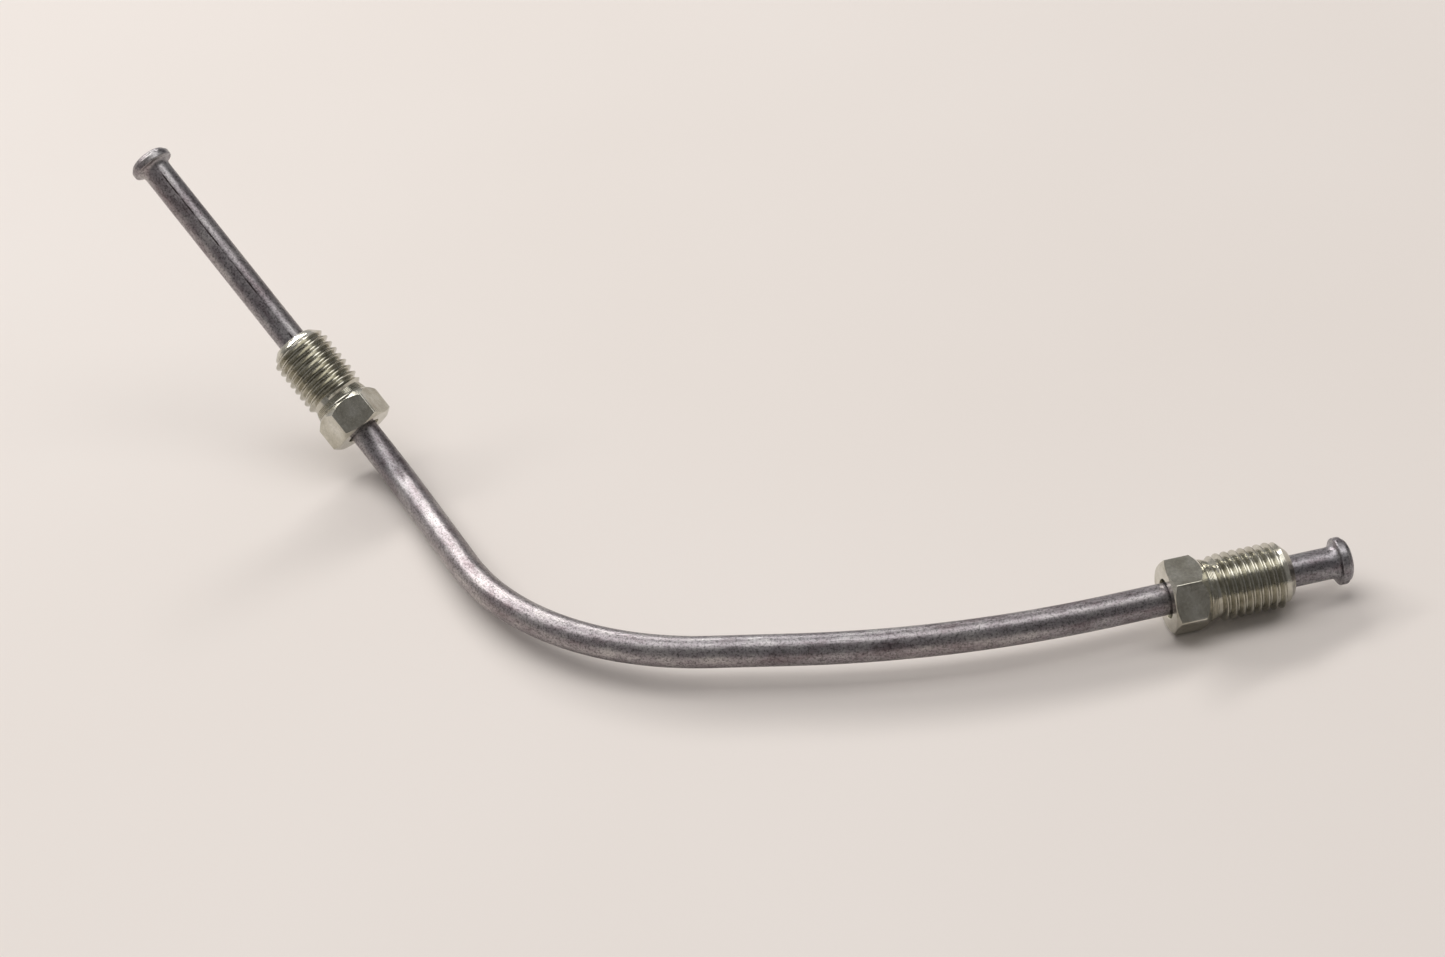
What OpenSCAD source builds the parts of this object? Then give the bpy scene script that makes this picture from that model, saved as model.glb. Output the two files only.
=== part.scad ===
// Brake line: a bent steel pipe, flared at both ends, with a loose tube nut near each end.
// Millimetres. +Z is up from the table that the line lies on, +X runs to the short end.

/* [Pipe] */
// Outside diameter of the pipe
tube_d = 4.75; // [4.6:0.01:4.85]
// Thickness of the pipe's wall
tube_wall = 0.7; // [0.5:0.05:0.9]
// Straight arm at the long end, from the flare's tip to the first bend
long_arm = 58.5; // [48:0.5:90]
// Straight run between the first bend and the second
lower_run = 23; // [10:0.5:40]
// Straight run between the second bend and the third
upper_run = 12; // [4:0.5:25]
// Straight arm at the short end, from the third bend to the flare's tip
short_arm = 36.5; // [34:0.5:60]

/* [Bends] */
// Angle of the first bend
bend_1_angle = 45.5; // [25:0.1:55]
// Radius of the first bend to the pipe's centre
bend_1_radius = 19; // [14:0.5:40]
// Angle of the second bend
bend_2_angle = 58.3; // [40:0.1:70]
// Radius of the second bend to the pipe's centre
bend_2_radius = 47.5; // [30:0.5:65]
// Angle of the third bend
bend_3_angle = 17.8; // [8:0.1:30]
// Radius of the third bend to the pipe's centre
bend_3_radius = 150; // [100:5:260]
// Twist from the first bend's plane to the second's
twist_1_2 = -112.7; // [-140:0.1:-80]
// Twist from the second bend's plane to the third's
twist_2_3 = -2; // [-30:0.1:20]

/* [Flares] */
// Outside diameter of a flare's rim
flare_d = 7.05; // [6.6:0.05:7.4]
// Thickness of the rim
flare_rim = 1.25; // [0.9:0.05:1.5]
// Length of the domed seat in front of the rim
flare_dome = 0.75; // [0.5:0.05:1]
// Length of the hollow neck behind the rim
flare_neck = 1.2; // [0.8:0.1:1.6]
// Diameter of the mouth in the domed seat
flare_mouth_d = 3.7; // [3.5:0.05:4.2]

/* [Nuts] */
// Width of the hexagon across its flats
hex_width = 10; // [10:0.1:11]
// Length of the hexagon
hex_length = 5.6; // [4.5:0.1:7]
// Crest diameter of the thread
thread_d = 9.86; // [9.7:0.01:9.97]
// Pitch of the thread
thread_pitch = 1.25; // [1:0.25:1.25]
// Depth of the thread from crest to root
thread_depth = 0.7; // [0.5:0.05:0.75]
// Number of whole crests
thread_crests = 8; // [6:1:9]
// Gap between the nut's bore and the pipe, on the radius
nut_clearance = 0.1; // [0.05:0.01:0.1]
// Distance from the long end nut's back to the first bend
long_nut_gap = 0.5; // [0.3:0.1:10]
// Distance from the short flare's tip to the short end nut's nose
short_nut_from_tip = 9.3; // [4:0.1:12]

/* [Hidden] */
$fn = 48;

// The pipe's radii
tube_r = tube_d / 2;
tube_bore_r = tube_r - tube_wall;

// The flare, measured from its tip
rim_r = flare_d / 2;
rim_front = flare_dome;
rim_back = rim_front + flare_rim;
neck_end = rim_back + flare_neck;
rim_edge = 0.3;
mouth_r = flare_mouth_d / 2;
mouth_lead = 0.5;
neck_steps = 8;

// The nut, measured from its nose
nut_bore_r = tube_r + nut_clearance;
crest_r = thread_d / 2;
root_r = crest_r - thread_depth;
crest_flat = 0.16;
root_flat = 0.2;
nose_length = 0.475;
nose_bevel = 0.35;
lead_crest_r = root_r + thread_depth * 0.45;
thread_end = nose_length + (thread_crests + 1) * thread_pitch;
neck_length = 1.275;
neck_r = root_r + 0.35;
hex_front = thread_end + neck_length;
nut_length = hex_front + hex_length;
hex_corner_r = hex_width / 2 / cos(30);
front_washer_r = hex_width / 2 * 0.93;
back_washer_r = hex_width / 2 * 0.99;
hex_bevel_slope = tan(30);
seat_mouth_r = rim_r - 0.2;
back_mouth_r = nut_bore_r + 0.55;
over = 1;

// A bend is drawn this much thinner on the radius, and the straight runs lap into it
bend_draw = 0.004;
lap = 0.05;

// How the line lies on the table
lie_turn = [-149.55, -43.57, -84.86];
lie_tip = [-90.33, 46.21, 44.08];
long_nut_spin = -6.0;
short_nut_spin = 21.6;

pipe_color = [0.42, 0.41, 0.43];
nut_color = [0.66, 0.66, 0.58];

// A bend that starts upward at the origin and turns towards +X
module bend(radius, angle, r)
{
  translate([radius, 0, 0])
    rotate([90, 0, 180])
      rotate_extrude(angle = angle, $fn = 180)
        translate([radius, 0])
          circle(r = r - bend_draw, $fn = 32);
}

// Moves what follows to the far end of a bend
module past_bend(radius, angle)
{
  translate([radius, 0, 0])
    rotate([0, angle, 0])
      translate([-radius, 0, 0])
        children();
}

module past_long_arm()
{
  translate([0, 0, long_arm])
    children();
}

module past_bend_1()
{
  past_long_arm()
    past_bend(bend_1_radius, bend_1_angle)
      children();
}

module past_lower_run()
{
  past_bend_1()
    translate([0, 0, lower_run])
      rotate([0, 0, twist_1_2])
        children();
}

module past_bend_2()
{
  past_lower_run()
    past_bend(bend_2_radius, bend_2_angle)
      children();
}

module past_upper_run()
{
  past_bend_2()
    translate([0, 0, upper_run])
      rotate([0, 0, twist_2_3])
        children();
}

module past_bend_3()
{
  past_upper_run()
    past_bend(bend_3_radius, bend_3_angle)
      children();
}

// The short end's tip, with +Z pointing back into the pipe
module at_short_tip()
{
  past_bend_3()
    translate([0, 0, short_arm])
      rotate([180, 0, 0])
        children();
}

// A straight run that laps into the bends on either side
module lapped_run(length, r)
{
  translate([0, 0, -lap])
    cylinder(h = length + 2 * lap, r = r);
}

// A round run along the whole pipe, starting and ending some way from the tips
module run(r, inset)
{
  translate([0, 0, inset])
    cylinder(h = long_arm - inset + lap, r = r);
  past_long_arm()
    bend(bend_1_radius, bend_1_angle, r);
  past_bend_1()
    lapped_run(lower_run, r);
  past_lower_run()
    bend(bend_2_radius, bend_2_angle, r);
  past_bend_2()
    lapped_run(upper_run, r);
  past_upper_run()
    bend(bend_3_radius, bend_3_angle, r);
  past_bend_3()
    translate([0, 0, -lap])
      cylinder(h = short_arm - inset + lap, r = r);
}

// A formed flare: domed seat, rounded rim and a hollow neck down to the pipe
module flare()
{
  rotate_extrude()
    polygon(concat(
      [
        [0, 0],
        [mouth_r + 0.1, 0],
        [mouth_r + 0.6, rim_front * 0.12],
        [rim_r - 0.75, rim_front * 0.55],
        [rim_r - rim_edge, rim_front],
        [rim_r - rim_edge * 0.3, rim_front + rim_edge * 0.3],
        [rim_r, rim_front + rim_edge],
        [rim_r, rim_back - rim_edge],
        [rim_r - rim_edge * 0.3, rim_back - rim_edge * 0.3]
      ],
      [
        for (i = [0 : neck_steps])
          [
            rim_r - rim_edge - (rim_r - rim_edge - tube_r) * sin(90 * i / neck_steps),
            neck_end - flare_neck * cos(90 * i / neck_steps)
          ]
      ],
      [
        [0, neck_end]
      ]
    ));
}

// The mouth of the bore, opened out towards the tip
module mouth()
{
  translate([0, 0, -over])
    cylinder(h = over + 0.01, r = mouth_r);
  cylinder(h = mouth_lead, r1 = mouth_r, r2 = tube_bore_r);
}

module pipe_solid()
{
  difference()
  {
    union()
    {
      run(tube_r, rim_back);
      flare();
      at_short_tip()
        flare();
    }
    run(tube_bore_r, -over);
    mouth();
    at_short_tip()
      mouth();
  }
}

// The turned outline of the nut's threaded part, with one ridge for each crest
module threaded_shank()
{
  rotate_extrude()
    polygon(concat(
      [
        [0, 0],
        [root_r - nose_bevel, 0],
        [root_r, nose_bevel],
        [root_r, nose_length]
      ],
      [
        for (i = [0 : thread_crests], k = [0 : 3])
          [
            (k == 0 || k == 3) ? root_r : (i == 0 ? lead_crest_r : crest_r),
            nose_length + i * thread_pitch
            + [root_flat / 2, thread_pitch / 2 - crest_flat / 2,
               thread_pitch / 2 + crest_flat / 2, thread_pitch - root_flat / 2][k]
          ]
      ],
      [
        [root_r, thread_end],
        [neck_r, hex_front - 0.35],
        [neck_r, hex_front + over],
        [0, hex_front + over]
      ]
    ));
}

// The hexagon with its corners turned off at both ends
module hexagon()
{
  intersection()
  {
    translate([0, 0, hex_front])
      linear_extrude(height = hex_length)
        circle(r = hex_corner_r, $fn = 6);
    rotate_extrude()
      polygon([
        [0, hex_front],
        [front_washer_r, hex_front],
        [hex_corner_r + 1, hex_front + (hex_corner_r + 1 - front_washer_r) * hex_bevel_slope],
        [hex_corner_r + 1, nut_length - (hex_corner_r + 1 - back_washer_r) * hex_bevel_slope],
        [back_washer_r, nut_length],
        [0, nut_length]
      ]);
  }
}

// A tube nut standing on its nose
module nut_solid()
{
  difference()
  {
    union()
    {
      threaded_shank();
      hexagon();
    }
    translate([0, 0, -over])
      cylinder(h = nut_length + 2 * over, r = nut_bore_r);
    cylinder(h = seat_mouth_r - nut_bore_r, r1 = seat_mouth_r, r2 = nut_bore_r);
    translate([0, 0, nut_length - (back_mouth_r - nut_bore_r)])
      cylinder(h = back_mouth_r - nut_bore_r, r1 = nut_bore_r, r2 = back_mouth_r);
  }
}

// The pipe's own frame, from the long end's tip, laid down on the table
module lay_down()
{
  translate(lie_tip)
    rotate(lie_turn)
      children();
}

module pipe()
{
  color(pipe_color)
    lay_down()
      pipe_solid();
}

module long_end_nut()
{
  color(nut_color)
    lay_down()
      translate([0, 0, long_arm - long_nut_gap - nut_length])
        rotate([0, 0, long_nut_spin])
          nut_solid();
}

module short_end_nut()
{
  color(nut_color)
    lay_down()
      at_short_tip()
        translate([0, 0, short_nut_from_tip])
          rotate([0, 0, short_nut_spin])
            nut_solid();
}

pipe();
long_end_nut();
short_end_nut();
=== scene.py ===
import math

import bmesh
import bpy
from mathutils import Euler, Matrix, Vector


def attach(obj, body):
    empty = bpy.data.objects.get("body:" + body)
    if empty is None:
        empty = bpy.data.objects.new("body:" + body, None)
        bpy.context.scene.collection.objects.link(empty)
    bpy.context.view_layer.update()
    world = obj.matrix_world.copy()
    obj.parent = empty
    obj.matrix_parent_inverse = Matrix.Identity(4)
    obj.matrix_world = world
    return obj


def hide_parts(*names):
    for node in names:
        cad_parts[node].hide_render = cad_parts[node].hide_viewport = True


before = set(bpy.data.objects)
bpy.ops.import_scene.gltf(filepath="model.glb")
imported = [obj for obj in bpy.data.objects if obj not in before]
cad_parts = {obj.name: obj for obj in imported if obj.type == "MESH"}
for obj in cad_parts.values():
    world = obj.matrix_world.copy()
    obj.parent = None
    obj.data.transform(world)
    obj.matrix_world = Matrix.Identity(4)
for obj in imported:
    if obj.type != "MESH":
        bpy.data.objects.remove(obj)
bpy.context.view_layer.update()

# Sizes are in millimetres and angles in degrees; MM turns a size into metres
MM = 0.001
SAME_POINT = 1e-7

# Pipe, with the same sizes as the construction; each bend has an angle and a radius
TUBE_R = 2.375
BORE_R = 1.675
WALL_MIDDLE_R = 2.0
LONG_ARM = 58.5
LOWER_RUN = 23.0
UPPER_RUN = 12.0
SHORT_ARM = 36.5
BENDS = {1: (45.5, 19.0), 2: (58.3, 47.5), 3: (17.8, 150.0)}
TWIST_1_2 = -112.7
TWIST_2_3 = -2.0
BOTH_TWISTS = TWIST_1_2 + TWIST_2_3

# Distance along the pipe at which each bend or run starts
ARC = {bend: math.radians(angle) * radius for bend, (angle, radius) in BENDS.items()}
BEND_1_START = LONG_ARM
LOWER_RUN_START = BEND_1_START + ARC[1]
BEND_2_START = LOWER_RUN_START + LOWER_RUN
UPPER_RUN_START = BEND_2_START + ARC[2]
BEND_3_START = UPPER_RUN_START + UPPER_RUN
SHORT_ARM_START = BEND_3_START + ARC[3]

# Steps of the pipe's mesh, around it and along each part of it
AROUND_PIPE = 64
LONG_ARM_STEPS = 40
LOWER_RUN_STEPS = 8
UPPER_RUN_STEPS = 3
SHORT_ARM_STEPS = 24
BEND_STEPS = {1: 24, 2: 44, 3: 60}
LAST_STRIP = 0.5
PIPE_SHARP = 32

# A point counts as this much worse placed for lying past the end of a run than beside it
PAST_END_COST = 20

# Flare, measured from its tip
RIM_R = 3.525
DOME = 0.75
RIM = 1.25
NECK = 1.2
MOUTH_R = 1.85
MOUTH_DEPTH = 1.4
MOUTH_LEAD = 0.75
LIP_R = MOUTH_R + 0.12
LIP_WIDTH = 0.17
LIP_HEIGHT = 0.14
EDGE = 0.3
BACK_EDGE = (0.28, 0.26)
NECK_R = RIM_R - EDGE
NECK_STEPS = 12
NECK_FROM = 6
FLARE_END = DOME + RIM + NECK

# Nut, measured from its nose
NUT_BORE_R = 2.475
CREST_R = 4.93
ROOT_R = 4.23
PITCH = 1.25
CRESTS = 8
NOSE = 0.475
THREAD_END = NOSE + (CRESTS + 1) * PITCH
HEX_FRONT = THREAD_END + 1.275
HEX_LENGTH = 5.6
NUT_LENGTH = HEX_FRONT + HEX_LENGTH
HEX_HALF = 5.0
LONG_NUT_GAP = 0.5
SHORT_NUT_FROM_TIP = 9.3
LONG_NUT_SPIN = -6.0
SHORT_NUT_SPIN = 21.6

# Details of the nut that only the scene has
AROUND_NUT = 96
SEAT_DEPTH = 0.85
NOSE_R = 3.45
NOSE_RISE = ROOT_R - NOSE_R
FRONT_WASHER = 4.56
FRONT_SLOPE = 48.0
BACK_WASHER = 4.88
BACK_SLOPE = 34.0
NECK_RINGS = 4
NECK_RING_FIRST = 0.18
NECK_RING_STEP = 0.25
NECK_RING_BASE = 0.06
NECK_RING_RISE = 0.085
NECK_RING_SECTION = ((-0.05, -0.06), (0.05, 0.0), (0.05, 0.09), (-0.02, 0.13))
NOSE_OUTLINE = (
    (NUT_BORE_R, SEAT_DEPTH),
    (NOSE_R - 0.16, 0.05),
    (NOSE_R - 0.1, 0.0),
    (NOSE_R - 0.04, 0.0),
    (NOSE_R, 0.04),
    (ROOT_R - 0.08, NOSE_RISE - 0.04),
    (ROOT_R, NOSE_RISE + 0.08),
)
COLLAR_OUTLINE = (
    (ROOT_R + 0.37, HEX_FRONT - 0.08),
    (ROOT_R + 0.39, HEX_FRONT),
)
MOUTH_OUTLINE = (
    (3.08, NUT_LENGTH),
    (2.95, NUT_LENGTH - 0.08),
    (2.80, NUT_LENGTH - 0.9),
    (NUT_BORE_R, NUT_LENGTH - 2.2),
    (NUT_BORE_R, SEAT_DEPTH),
)
NEAR_CORNER = 5.65
SIDE_EDGE_MIN = 2.0
CORNER_ROUND = 0.14
CORNER_STEPS = 3
NUT_SHARP = 22

# Section of the thread's ridge, as radius and half width, and where its middle starts and ends
RIDGE_SUNK = (ROOT_R - 0.15, 0.6)
RIDGE_FOOT = (ROOT_R, 0.55)
RIDGE_CREST = (CREST_R, 0.055)
RIDGE_FIRST = 0.3
RIDGE_LAST = THREAD_END - 0.1
RIDGE_LOWEST = 0.1
UNDER_NOSE = 0.03
UNDER_ROOT = 0.12
RUN_OUT = 0.35
RUN_OUT_SLOPE = 0.9

# How the line lies on the table
LIE_TURN = (-149.55, -43.57, -84.86)
LIE_TIP = (-90.33, 46.21, 44.08)

# The short nut's lowest point here is a little above the frame's floor, and the table meets it
TABLE_TOP = 0.45
TABLE_HALF = 1.6

# Finish of the pipe
SEAM_ANGLE = -9.5
SEAM_HALF_WIDTH = 0.13
SEAM_START = 3.2
SEAM_END = 44.0
SEAM_COLOUR = (0.05, 0.04, 0.04, 1.0)

# Room, as brightness from front to back and from left to right
FRONT_TO_BACK = (-0.35, 0.75)
FRONT_TO_BACK_LEVEL = (0.23, 0.38)
LEFT_TO_RIGHT = (-0.9, 0.9)
LEFT_TO_RIGHT_LEVEL = (1.45, 0.55)
ROOM_COLOUR = (0.92, 0.89, 0.88, 1.0)

# Lamps, in metres and watts
WINDOW_PLACE = (-0.9, 1.25, 1.15)
WINDOW_SIZE = (2.0, 0.22)
WINDOW_POWER = 20.0
WINDOW_COLOUR = (1.0, 0.975, 0.95)
CEILING_PLACE = (0.0, 0.12, 1.3)
CEILING_SIZE = (2.4, 0.7)
CEILING_POWER = 10.5
CEILING_COLOUR = (1.0, 0.98, 0.965)

# Camera, in metres, degrees and millimetres of lens
CAMERA_PLACE = (0.02786, -0.34871, 0.27906)
CAMERA_TURN = (51.425, 6.246, -0.418)
CAMERA_LENS = 69.93
CAMERA_SENSOR = 36.0
CAMERA_REACH = (0.01, 10.0)


def deg(*angles):
    return [math.radians(a) for a in angles]


def move(x, y, z):
    return Matrix.Translation((x * MM, y * MM, z * MM))


def turn(angle, axis):
    return Matrix.Rotation(math.radians(angle), 4, axis)


def past_bend(place, bend):
    """The far end of a bend that starts at place and turns towards its +X."""
    angle, radius = BENDS[bend]
    return place @ move(radius, 0, 0) @ turn(angle, "Y") @ move(-radius, 0, 0)


LAID = move(*LIE_TIP) @ Euler(deg(*LIE_TURN), "XYZ").to_matrix().to_4x4()
BEND_1_AT = LAID @ move(0, 0, LONG_ARM)
LOWER_RUN_AT = past_bend(BEND_1_AT, 1)
BEND_2_AT = LOWER_RUN_AT @ move(0, 0, LOWER_RUN) @ turn(TWIST_1_2, "Z")
UPPER_RUN_AT = past_bend(BEND_2_AT, 2)
BEND_3_AT = UPPER_RUN_AT @ move(0, 0, UPPER_RUN) @ turn(TWIST_2_3, "Z")
SHORT_ARM_AT = past_bend(BEND_3_AT, 3)
SHORT_TIP = SHORT_ARM_AT @ move(0, 0, SHORT_ARM) @ turn(180, "X")
LONG_NUT_AT = (
    LAID
    @ move(0, 0, LONG_ARM - LONG_NUT_GAP - NUT_LENGTH)
    @ turn(LONG_NUT_SPIN, "Z")
)
SHORT_NUT_AT = SHORT_TIP @ move(0, 0, SHORT_NUT_FROM_TIP) @ turn(SHORT_NUT_SPIN, "Z")

# Each run: its own frame, its length, where it starts along the pipe, and the twist so far
RUNS = (
    (LAID.inverted(), LONG_ARM, 0.0, 0.0),
    (LOWER_RUN_AT.inverted(), LOWER_RUN, LOWER_RUN_START, 0.0),
    (UPPER_RUN_AT.inverted(), UPPER_RUN, UPPER_RUN_START, TWIST_1_2),
    (SHORT_ARM_AT.inverted(), SHORT_ARM, SHORT_ARM_START, BOTH_TWISTS),
)

# Each bend: its own frame, its number, where it starts along the pipe, and the twist so far
BENT_RUNS = (
    (BEND_1_AT.inverted(), 1, BEND_1_START, 0.0),
    (BEND_2_AT.inverted(), 2, BEND_2_START, TWIST_1_2),
    (BEND_3_AT.inverted(), 3, BEND_3_START, BOTH_TWISTS),
)


# Mesh helpers


def finish_piece(bm, name, body, node, material, sharp):
    """Closes a mesh, shades it, and puts it on its body in place of the node's plain solid."""
    bmesh.ops.remove_doubles(bm, verts=bm.verts, dist=SAME_POINT)
    bmesh.ops.recalc_face_normals(bm, faces=bm.faces)
    limit = math.radians(sharp)
    for face in bm.faces:
        face.smooth = True
    for edge in bm.edges:
        if edge.is_manifold and edge.calc_face_angle(0) > limit:
            edge.smooth = False
    mesh = bpy.data.meshes.new(name)
    bm.to_mesh(mesh)
    bm.free()
    piece = bpy.data.objects.new(name, mesh)
    bpy.context.scene.collection.objects.link(piece)
    mesh.materials.append(material)
    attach(piece, body)
    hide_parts(node)
    return piece


def axis_of(place):
    return (place.to_3x3() @ Vector((0, 0, 1))).normalized()


def point_at(place, radius, height):
    return place @ Vector((radius * MM, 0, height * MM))


def edges_in(geometry):
    return [item for item in geometry if isinstance(item, bmesh.types.BMEdge)]


def verts_in(geometry):
    return [item for item in geometry if isinstance(item, bmesh.types.BMVert)]


def revolve(bm, points, place, steps):
    """Turns an outline of (radius, height) points about +Z of place."""
    verts = [bm.verts.new(point_at(place, r, z)) for r, z in points]
    edges = [bm.edges.new(pair) for pair in zip(verts, verts[1:])]
    bmesh.ops.spin(
        bm,
        geom=verts + edges,
        cent=place.translation,
        axis=axis_of(place),
        dvec=(0, 0, 0),
        angle=math.tau,
        steps=steps,
        use_merge=True,
        use_duplicate=False,
    )
    bmesh.ops.remove_doubles(bm, verts=bm.verts, dist=SAME_POINT)


def open_edges(bm):
    """The boundary edges of a mesh."""
    return [edge for edge in bm.edges if edge.is_boundary]


def arc(middle, radii, angles, steps):
    """Points of an elliptical arc in an outline, from one angle to the other."""
    start, end = angles
    points = []
    for i in range(steps + 1):
        a = math.radians(start + (end - start) * i / steps)
        r = middle[0] + radii[0] * math.cos(a)
        z = middle[1] + radii[1] * math.sin(a)
        points.append((r, z))
    return points


# Pipe


def flare_outline():
    """The flare from inside the bore, over its lip, dome and rim, to the end of its neck."""
    back_width, back_depth = BACK_EDGE
    back_middle = (RIM_R - back_width, DOME + RIM - back_depth)
    into_bore = [(BORE_R, MOUTH_DEPTH), (BORE_R, MOUTH_LEAD), (MOUTH_R - 0.1, 0.2)]
    lip = arc((LIP_R, LIP_HEIGHT), (LIP_WIDTH, LIP_HEIGHT), angles=(180, 270), steps=5)
    dome = arc((LIP_R, DOME), (NECK_R - LIP_R, DOME), angles=(-90, -12), steps=10)
    front_edge = arc((NECK_R, DOME + EDGE), (EDGE, EDGE), angles=(-80, 0), steps=6)
    back_edge = arc(back_middle, BACK_EDGE, angles=(0, 75), steps=6)
    neck = []
    for i in range(NECK_STEPS + 1):
        a = math.radians(NECK_FROM + (90 - NECK_FROM) * i / NECK_STEPS)
        neck.append((NECK_R - (NECK_R - TUBE_R) * math.sin(a), FLARE_END - NECK * math.cos(a)))
    return into_bore + lip + dome + front_edge + back_edge + neck


def outer_and_inner(edges, place):
    """Splits open rings into those of the pipe's outside and those of its bore."""
    inverse = place.inverted()
    outer, inner = [], []
    for edge in edges:
        from_axis = (inverse @ edge.verts[0].co).xy.length
        (outer if from_axis > WALL_MIDDLE_R * MM else inner).append(edge)
    return outer, inner


def carry(bm, edges, place, length, steps=1):
    """Carries open rings along a straight run in equal steps."""
    step = place.to_3x3() @ Vector((0, 0, length * MM / steps))
    for _ in range(steps):
        grown = bmesh.ops.extrude_edge_only(bm, edges=edges)["geom"]
        bmesh.ops.translate(bm, verts=verts_in(grown), vec=step)
        edges = edges_in(grown)
    return edges


def carry_round(bm, edges, place, bend):
    """Carries open rings round a bend that starts at place and turns towards its +X."""
    angle, radius = BENDS[bend]
    grown = bmesh.ops.spin(
        bm,
        geom=edges,
        cent=(place @ move(radius, 0, 0)).translation,
        axis=place.to_3x3() @ Vector((0, 1, 0)),
        dvec=(0, 0, 0),
        angle=math.radians(angle),
        steps=BEND_STEPS[bend],
        use_merge=False,
        use_duplicate=False,
    )
    return edges_in(grown["geom_last"])


def add_flare(bm, place):
    """A flare with its tip at place, and its outer and bore rings brought level."""
    revolve(bm, flare_outline(), place, AROUND_PIPE)
    outer, inner = outer_and_inner(open_edges(bm), place)
    inner = carry(bm, inner, place, FLARE_END - MOUTH_DEPTH)
    return outer, inner


def join_far_flare(bm, rings):
    """Adds the short end's flare, turned so that its points meet the run's, and joins them."""
    outer, inner = outer_and_inner(rings, SHORT_ARM_AT)
    known = set(bm.edges)
    meeting = SHORT_TIP.inverted() @ outer[0].verts[0].co
    far = SHORT_TIP @ turn(math.degrees(math.atan2(meeting.y, meeting.x)), "Z")
    flare = bmesh.new()
    add_flare(flare, far)
    carried = bpy.data.meshes.new("far_flare")
    flare.to_mesh(carried)
    flare.free()
    bm.from_mesh(carried)
    bpy.data.meshes.remove(carried)
    fresh = [edge for edge in open_edges(bm) if edge not in known]
    far_outer, far_inner = outer_and_inner(fresh, far)
    bmesh.ops.bridge_loops(bm, edges=outer + far_outer)
    bmesh.ops.bridge_loops(bm, edges=inner + far_inner)


def make_pipe(material):
    bm = bmesh.new()
    outer, inner = add_flare(bm, LAID)
    rings = outer + inner
    rings = carry(bm, rings, LAID, LONG_ARM - FLARE_END, LONG_ARM_STEPS)
    rings = carry_round(bm, rings, BEND_1_AT, 1)
    rings = carry(bm, rings, LOWER_RUN_AT, LOWER_RUN, LOWER_RUN_STEPS)
    rings = carry_round(bm, rings, BEND_2_AT, 2)
    rings = carry(bm, rings, UPPER_RUN_AT, UPPER_RUN, UPPER_RUN_STEPS)
    rings = carry_round(bm, rings, BEND_3_AT, 3)
    rings = carry(bm, rings, SHORT_ARM_AT, SHORT_ARM - FLARE_END - LAST_STRIP, SHORT_ARM_STEPS)
    join_far_flare(bm, rings)
    pipe = finish_piece(bm, "steel_pipe", "pipe", "pipe", material, PIPE_SHARP)
    return pipe


# Straightened places, which carry the finish along the pipe


def outside_by(value, length):
    """How far a value lies outside the span from nought to length."""
    return max(0.0, -value, value - length)


def on_run(point, inverse, length, start, twist):
    """A point measured from a straight run: how badly it fits, across, across, along, twist."""
    p = inverse @ point
    misfit = p.xy.length + PAST_END_COST * outside_by(p.z, length * MM)
    return misfit, p.x, p.y, p.z + start * MM, twist


def on_bend(point, inverse, bend, start, twist):
    """A point measured from a bend, in the same terms as on_run."""
    angle, radius = BENDS[bend]
    p = inverse @ point
    to_centre = radius * MM - p.x
    a = math.atan2(p.z, to_centre)
    across = radius * MM - math.hypot(to_centre, p.z)
    past_end = outside_by(a, math.radians(angle)) * radius * MM
    misfit = math.hypot(across, p.y) + PAST_END_COST * past_end
    return misfit, across, p.y, a * radius * MM + start * MM, twist


def unbend(point):
    """The place of a point on the pipe as if the pipe were straight: across, across, along."""
    fits = [on_run(point, *run) for run in RUNS]
    fits += [on_bend(point, *run) for run in BENT_RUNS]
    _, x, y, z, twist = min(fits, key=lambda fit: fit[0])
    c, s = math.cos(math.radians(twist)), math.sin(math.radians(twist))
    return (x * c - y * s, x * s + y * c, z)


def mark(piece, places):
    """Stores the straightened place of every point for the finish."""
    field = piece.data.attributes.new("straight", "FLOAT_VECTOR", "POINT")
    for item, place in zip(field.data, places):
        item.vector = place


# Nuts


def hex_radius(angle):
    """Distance from the axis to the hexagon's side at an angle; a flat faces the angle nought."""
    from_flat = (angle + math.pi / 6) % (math.pi / 3) - math.pi / 6
    return HEX_HALF / math.cos(from_flat)


def front_bevel(angle):
    """Height of the hexagon's front edge in that direction."""
    cut = max(0.0, hex_radius(angle) - FRONT_WASHER) * math.tan(math.radians(FRONT_SLOPE))
    return HEX_FRONT + cut


def back_bevel(angle):
    """Height of the hexagon's back edge in that direction."""
    cut = max(0.0, hex_radius(angle) - BACK_WASHER) * math.tan(math.radians(BACK_SLOPE))
    return NUT_LENGTH - cut


def grow_ring(bm, edges, place, radius, height):
    """Grows a ring to the radius and height wanted at each angle, and returns its new edges."""
    inverse = place.inverted()
    grown = bmesh.ops.extrude_edge_only(bm, edges=edges)["geom"]
    for vert in verts_in(grown):
        p = inverse @ vert.co
        a = math.atan2(p.y, p.x)
        r = radius(a) if callable(radius) else radius
        z = height(a) if callable(height) else height
        vert.co = place @ Vector((r * MM * math.cos(a), r * MM * math.sin(a), z * MM))
    return edges_in(grown)


def neck_outline():
    """Fine turned rings between the thread and the hexagon."""
    points = []
    for i in range(NECK_RINGS):
        z = THREAD_END + NECK_RING_FIRST + NECK_RING_STEP * i
        r = ROOT_R + NECK_RING_BASE + NECK_RING_RISE * i
        points += [(r + out, z + up) for out, up in NECK_RING_SECTION]
    return points


def shank_outline():
    """The nut from its seat, over its nose and the thread's roots, to the hexagon."""
    return [*NOSE_OUTLINE, (ROOT_R, RIDGE_LAST), *neck_outline(), *COLLAR_OUTLINE]


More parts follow.
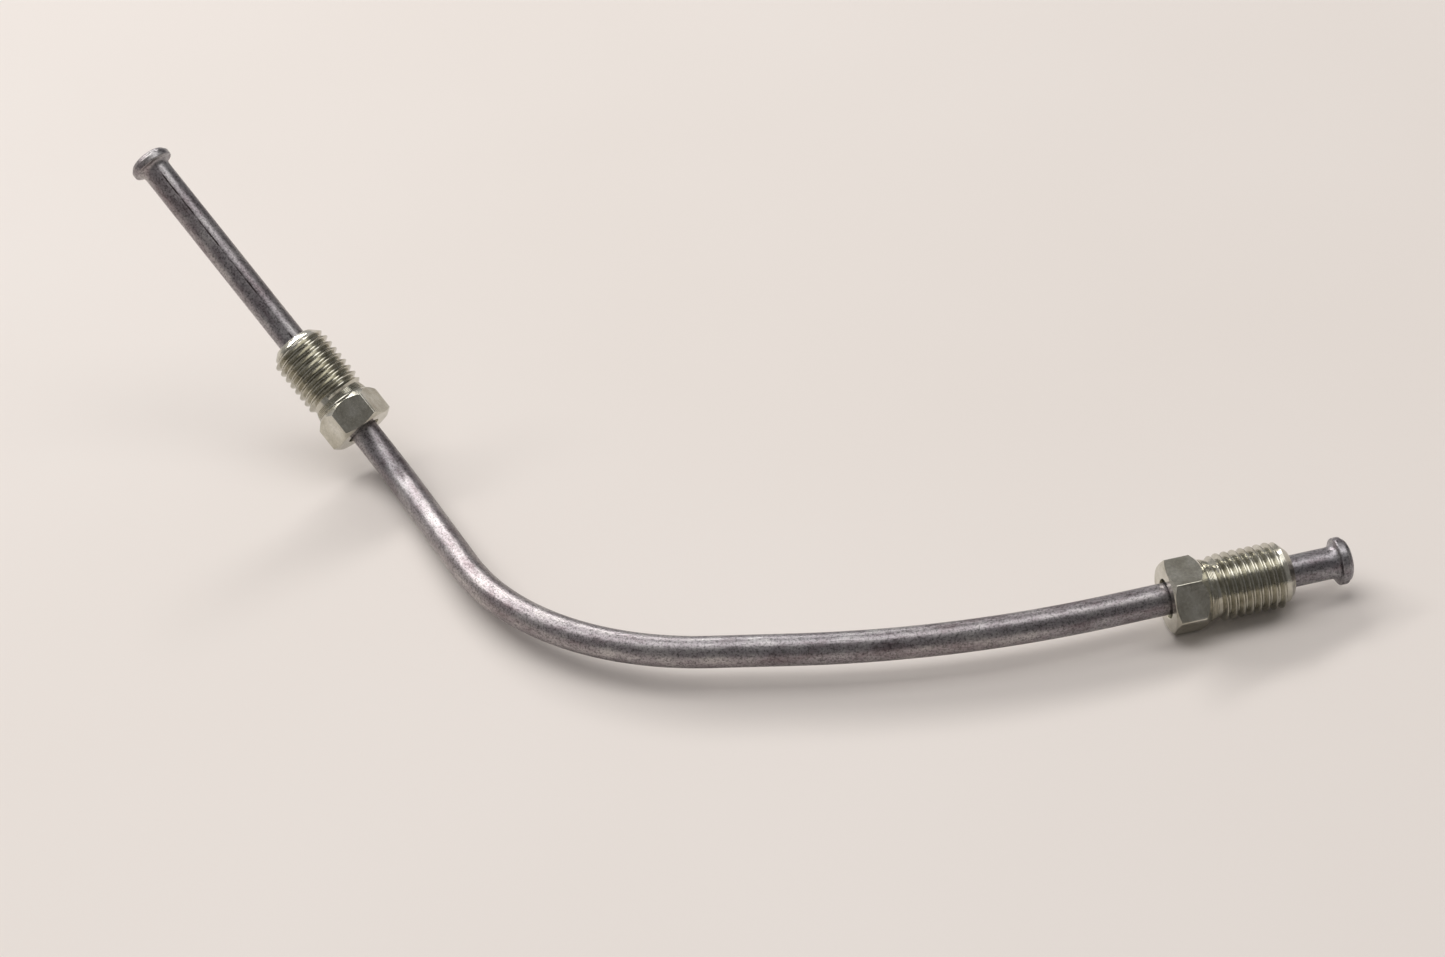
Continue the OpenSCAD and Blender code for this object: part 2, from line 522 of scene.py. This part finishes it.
def round_corners(bm, inverse):
    """Rounds the six long edges of the hexagon a little."""
    corners = []
    for edge in bm.edges:
        p, q = (inverse @ vert.co for vert in edge.verts)
        on_hexagon = min(p.z, q.z) > HEX_FRONT * MM
        at_corner = min(p.xy.length, q.xy.length) > NEAR_CORNER * MM
        if on_hexagon and at_corner and abs(p.z - q.z) > SIDE_EDGE_MIN * MM:
            corners.append(edge)
    bmesh.ops.bevel(
        bm,
        geom=corners,
        offset=CORNER_ROUND * MM,
        offset_type="OFFSET",
        segments=CORNER_STEPS,
        profile=0.5,
        affect="EDGES",
        material=-1,
        clamp_overlap=True,
    )


def ridge_limit(z):
    """The largest radius of the ridge at a height, inside the nose's cone and its own run-out."""
    under_nose = NOSE_R - UNDER_NOSE + z
    running_out = max(RIDGE_LAST + RUN_OUT - z, 0.0) * RUN_OUT_SLOPE
    return min(under_nose, ROOT_R - UNDER_ROOT + running_out)


def wind_thread(bm, place):
    """One ridge wound along the shank, kept behind the nose and run out before the hexagon."""
    half = (RIDGE_SUNK, RIDGE_FOOT, RIDGE_CREST)
    section = [(r, -z) for r, z in half] + [(r, z) for r, z in reversed(half)]
    turns = (RIDGE_LAST - RIDGE_FIRST) / PITCH
    steps = int(AROUND_NUT * turns)
    before = set(bm.verts)
    verts = [bm.verts.new(point_at(place, r, z + RIDGE_FIRST)) for r, z in section]
    loop = [bm.edges.new(pair) for pair in zip(verts, verts[1:] + verts[:1])]
    bm.faces.new(verts)
    axis = axis_of(place)
    wound = bmesh.ops.spin(
        bm,
        geom=verts + loop,
        cent=place.translation,
        axis=axis,
        dvec=axis * (PITCH * MM * turns / steps),
        angle=math.tau * turns,
        steps=steps,
        use_merge=False,
        use_duplicate=False,
    )
    bmesh.ops.contextual_create(bm, geom=verts_in(wound["geom_last"]))
    inverse = place.inverted()
    for vert in bm.verts:
        if vert in before:
            continue
        p = inverse @ vert.co
        z = max(p.z / MM, RIDGE_LOWEST)
        share = min(1.0, ridge_limit(z) * MM / p.xy.length)
        vert.co = place @ Vector((p.x * share, p.y * share, z * MM))


def make_nut(name, body, node, place, material):
    bm = bmesh.new()
    revolve(bm, shank_outline(), place, AROUND_NUT)
    inverse = place.inverted()
    middle = HEX_FRONT / 2 * MM
    ring = [edge for edge in open_edges(bm) if (inverse @ edge.verts[0].co).z > middle]
    hexagon = (
        (FRONT_WASHER, HEX_FRONT),
        (hex_radius, front_bevel),
        (hex_radius, back_bevel),
        (BACK_WASHER, NUT_LENGTH),
    )
    for radius, height in hexagon + MOUTH_OUTLINE:
        ring = grow_ring(bm, ring, place, radius, height)
    bmesh.ops.remove_doubles(bm, verts=bm.verts, dist=0.002 * MM)
    round_corners(bm, inverse)
    wind_thread(bm, place)
    nut = finish_piece(bm, name, body, node, material, NUT_SHARP)
    mark(nut, [inverse @ vert.co for vert in nut.data.vertices])


# Finishes


class Shader:
    """Adds nodes to a material and joins them."""

    def __init__(self, name):
        self.material = bpy.data.materials.new(name)
        self.material.use_nodes = True
        self.tree = self.material.node_tree
        self.tree.nodes.clear()
        self.out = self.add("ShaderNodeOutputMaterial")

    def add(self, kind, **inputs):
        node = self.tree.nodes.new(kind)
        for key, value in inputs.items():
            self.feed(node, key.replace("_", " "), value)
        return node

    def feed(self, node, socket, value):
        """Joins a socket to an input, or sets the input's own value; #2 is the third input."""
        target = node.inputs[int(socket[1:])] if socket[0] == "#" else node.inputs[socket]
        if isinstance(value, bpy.types.NodeSocket):
            self.tree.links.new(value, target)
        else:
            target.default_value = value

    def straight_place(self):
        """The straightened place that mark stored."""
        node = self.add("ShaderNodeAttribute")
        node.attribute_name = "straight"
        return node.outputs["Vector"]

    def maths(self, operation, a, b=0.5):
        node = self.add("ShaderNodeMath")
        node.operation = operation
        self.feed(node, "#0", a)
        self.feed(node, "#1", b)
        return node.outputs[0]

    def sum_of(self, *terms):
        """Adds up (value, share) pairs and plain numbers."""
        total = None
        for term in terms:
            value = self.maths("MULTIPLY", *term) if isinstance(term, tuple) else term
            total = value if total is None else self.maths("ADD", total, value)
        return total

    def stretch(self, vector, scale):
        return self.add("ShaderNodeMapping", Vector=vector, Scale=scale).outputs[0]

    def noise(self, vector, scale, detail, rough):
        node = self.add(
            "ShaderNodeTexNoise", Vector=vector, Scale=scale, Detail=detail, Roughness=rough
        )
        return node.outputs["Fac"]

    def ramp(self, value, stops):
        """Colours along a value, from (position, colour) stops; a number stands for a grey."""
        node = self.add("ShaderNodeValToRGB", Fac=value)
        elements = node.color_ramp.elements
        while len(elements) < len(stops):
            elements.new(0.5)
        for element, (place, colour) in zip(elements, stops):
            element.position = place
            element.color = (*colour, 1.0) if isinstance(colour, tuple) else (*[colour] * 3, 1.0)
        return node.outputs["Color"]

    def line_along(self, place, angle, half_width, start, end):
        """One where the surface lies on a thin line along the pipe, and nought elsewhere."""
        split = self.add("ShaderNodeSeparateXYZ", Vector=place)
        around = self.maths("ARCTAN2", split.outputs["Y"], split.outputs["X"])
        away = self.maths("ABSOLUTE", self.maths("SUBTRACT", around, math.radians(angle)))
        near = self.maths("LESS_THAN", away, half_width / TUBE_R)
        after = self.maths("GREATER_THAN", split.outputs["Z"], start * MM)
        ahead = self.maths("LESS_THAN", split.outputs["Z"], end * MM)
        return self.maths("MULTIPLY", near, self.maths("MULTIPLY", after, ahead))

    def mix(self, factor, a, b, blend="MIX"):
        node = self.add("ShaderNodeMix")
        node.data_type = "RGBA"
        node.blend_type = blend
        self.feed(node, "#0", factor)
        self.feed(node, "#6", a)
        self.feed(node, "#7", b)
        return node.outputs[2]

    def bump(self, height, strength, distance):
        node = self.add("ShaderNodeBump", Height=height, Strength=strength, Distance=distance)
        return node.outputs["Normal"]

    def surface(self, **inputs):
        """Ends the material with one surface."""
        body = self.add("ShaderNodeBsdfPrincipled", **inputs)
        self.feed(self.out, "Surface", body.outputs[0])
        return self.material


def steel_pipe_finish():
    s = Shader("drawn_pipe_steel")
    place = s.straight_place()
    blotch = s.noise(s.stretch(place, (1, 1, 0.35)), scale=420.0, detail=6.0, rough=0.7)
    speck = s.noise(place, scale=2900.0, detail=4.0, rough=0.8)
    streak = s.noise(s.stretch(place, (1, 1, 0.02)), scale=1400.0, detail=3.0, rough=0.6)
    cast = s.noise(s.stretch(place, (1, 1, 0.16)), scale=90.0, detail=3.0, rough=0.5)
    gaps = s.noise(s.stretch(place, (1, 1, 0.4)), scale=900.0, detail=2.0, rough=0.6)

    steel = [(0.32, (0.21, 0.175, 0.185)), (0.50, (0.37, 0.35, 0.36)), (0.68, (0.55, 0.54, 0.53))]
    base = s.ramp(blotch, steel)
    warm_to_cool = s.ramp(cast, [(0.35, (1.0, 0.93, 0.92)), (0.65, (0.93, 0.96, 1.0))])
    base = s.mix(0.8, base, warm_to_cool, "MULTIPLY")
    base = s.mix(0.8, base, s.ramp(speck, [(0.38, 0.22), (0.54, 1.0)]), "MULTIPLY")

    seam = s.line_along(place, SEAM_ANGLE, SEAM_HALF_WIDTH, SEAM_START, SEAM_END)
    seam = s.maths("MULTIPLY", seam, s.ramp(gaps, [(0.40, 0.25), (0.56, 1.0)]))
    base = s.mix(seam, base, SEAM_COLOUR)

    rough = s.sum_of((speck, 0.2), 0.23, (blotch, 0.1))
    height = s.sum_of((speck, 0.6), (streak, 0.5))
    normal = s.bump(height, strength=0.6, distance=0.04 * MM)
    return s.surface(Base_Color=base, Roughness=rough, Normal=normal, Metallic=1.0)


def nut_finish():
    s = Shader("zinc_nut_steel")
    place = s.straight_place()
    fine = s.noise(place, scale=2400.0, detail=4.0, rough=0.65)
    cloud = s.noise(place, scale=420.0, detail=3.0, rough=0.5)
    rings = s.noise(s.stretch(place, (0.02, 0.02, 1)), scale=3800.0, detail=2.0, rough=0.5)

    zinc = [(0.3, (0.45, 0.43, 0.36)), (0.55, (0.60, 0.585, 0.51)), (0.75, (0.69, 0.68, 0.62))]
    base = s.ramp(cloud, zinc)
    base = s.mix(0.35, base, s.ramp(fine, [(0.35, 0.55), (0.6, 1.0)]), "MULTIPLY")

    rough = s.sum_of((fine, 0.16), 0.13)
    height = s.sum_of((fine, 0.5), (rings, 0.6))
    normal = s.bump(height, strength=0.3, distance=0.03 * MM)
    return s.surface(Base_Color=base, Roughness=rough, Normal=normal, Metallic=1.0)


def table_finish():
    s = Shader("pale_table")
    place = s.add("ShaderNodeTexCoord").outputs["Object"]
    cloud = s.noise(place, scale=5.0, detail=3.0, rough=0.5)
    base = s.ramp(cloud, [(0.3, (0.80, 0.745, 0.70)), (0.7, (0.835, 0.785, 0.745))])
    return s.surface(Base_Color=base, Roughness=0.6, Specular_IOR_Level=0.3)


# Table, light and camera


def make_table(material):
    bm = bmesh.new()
    bmesh.ops.create_grid(bm, x_segments=1, y_segments=1, size=TABLE_HALF)
    mesh = bpy.data.meshes.new("table")
    bm.to_mesh(mesh)
    bm.free()
    table = bpy.data.objects.new("table", mesh)
    table.location.z = TABLE_TOP * MM
    bpy.context.scene.collection.objects.link(table)
    mesh.materials.append(material)


def add_light(name, place, size, power, colour):
    """A rectangular lamp that faces the middle of the table."""
    data = bpy.data.lights.new(name, "AREA")
    data.shape = "RECTANGLE"
    data.size, data.size_y = size
    data.energy = power
    data.color = colour
    lamp = bpy.data.objects.new(name, data)
    lamp.location = place
    lamp.rotation_mode = "QUATERNION"
    lamp.rotation_quaternion = (-Vector(place)).to_track_quat("-Z", "Y")
    bpy.context.scene.collection.objects.link(lamp)


def map_range(tree, value, source, target):
    node = tree.nodes.new("ShaderNodeMapRange")
    names = ("From Min", "From Max", "To Min", "To Max")
    for name, number in zip(names, source + target):
        node.inputs[name].default_value = number
    tree.links.new(value, node.inputs["Value"])
    return node.outputs["Result"]


def make_room():
    """Plain surroundings that are brighter at the back and on the left."""
    world = bpy.data.worlds.new("room")
    world.use_nodes = True
    tree = world.node_tree
    split = tree.nodes.new("ShaderNodeSeparateXYZ")
    direction = tree.nodes.new("ShaderNodeTexCoord").outputs["Generated"]
    tree.links.new(direction, split.inputs[0])
    depth = map_range(tree, split.outputs["Y"], FRONT_TO_BACK, FRONT_TO_BACK_LEVEL)
    side = map_range(tree, split.outputs["X"], LEFT_TO_RIGHT, LEFT_TO_RIGHT_LEVEL)
    level = tree.nodes.new("ShaderNodeMath")
    level.operation = "MULTIPLY"
    tree.links.new(depth, level.inputs[0])
    tree.links.new(side, level.inputs[1])
    background = tree.nodes["Background"]
    background.inputs["Color"].default_value = ROOM_COLOUR
    tree.links.new(level.outputs[0], background.inputs["Strength"])
    bpy.context.scene.world = world


def add_camera():
    lens = bpy.data.cameras.new("camera")
    lens.lens = CAMERA_LENS
    lens.sensor_width = CAMERA_SENSOR
    lens.clip_start, lens.clip_end = CAMERA_REACH
    camera = bpy.data.objects.new("camera", lens)
    camera.location = CAMERA_PLACE
    camera.rotation_euler = deg(*CAMERA_TURN)
    bpy.context.scene.collection.objects.link(camera)
    bpy.context.scene.camera = camera


# Build

pipe_steel = steel_pipe_finish()
nut_steel = nut_finish()
pipe = make_pipe(pipe_steel)
mark(pipe, [unbend(vert.co) for vert in pipe.data.vertices])
make_nut("long_end_nut_body", "long_nut", "long_end_nut", LONG_NUT_AT, nut_steel)
make_nut("short_end_nut_body", "short_nut", "short_end_nut", SHORT_NUT_AT, nut_steel)

make_table(table_finish())
add_light("window_strip", WINDOW_PLACE, WINDOW_SIZE, WINDOW_POWER, WINDOW_COLOUR)
add_light("ceiling_panel", CEILING_PLACE, CEILING_SIZE, CEILING_POWER, CEILING_COLOUR)
make_room()
add_camera()
bpy.context.scene.view_settings.view_transform = "Standard"
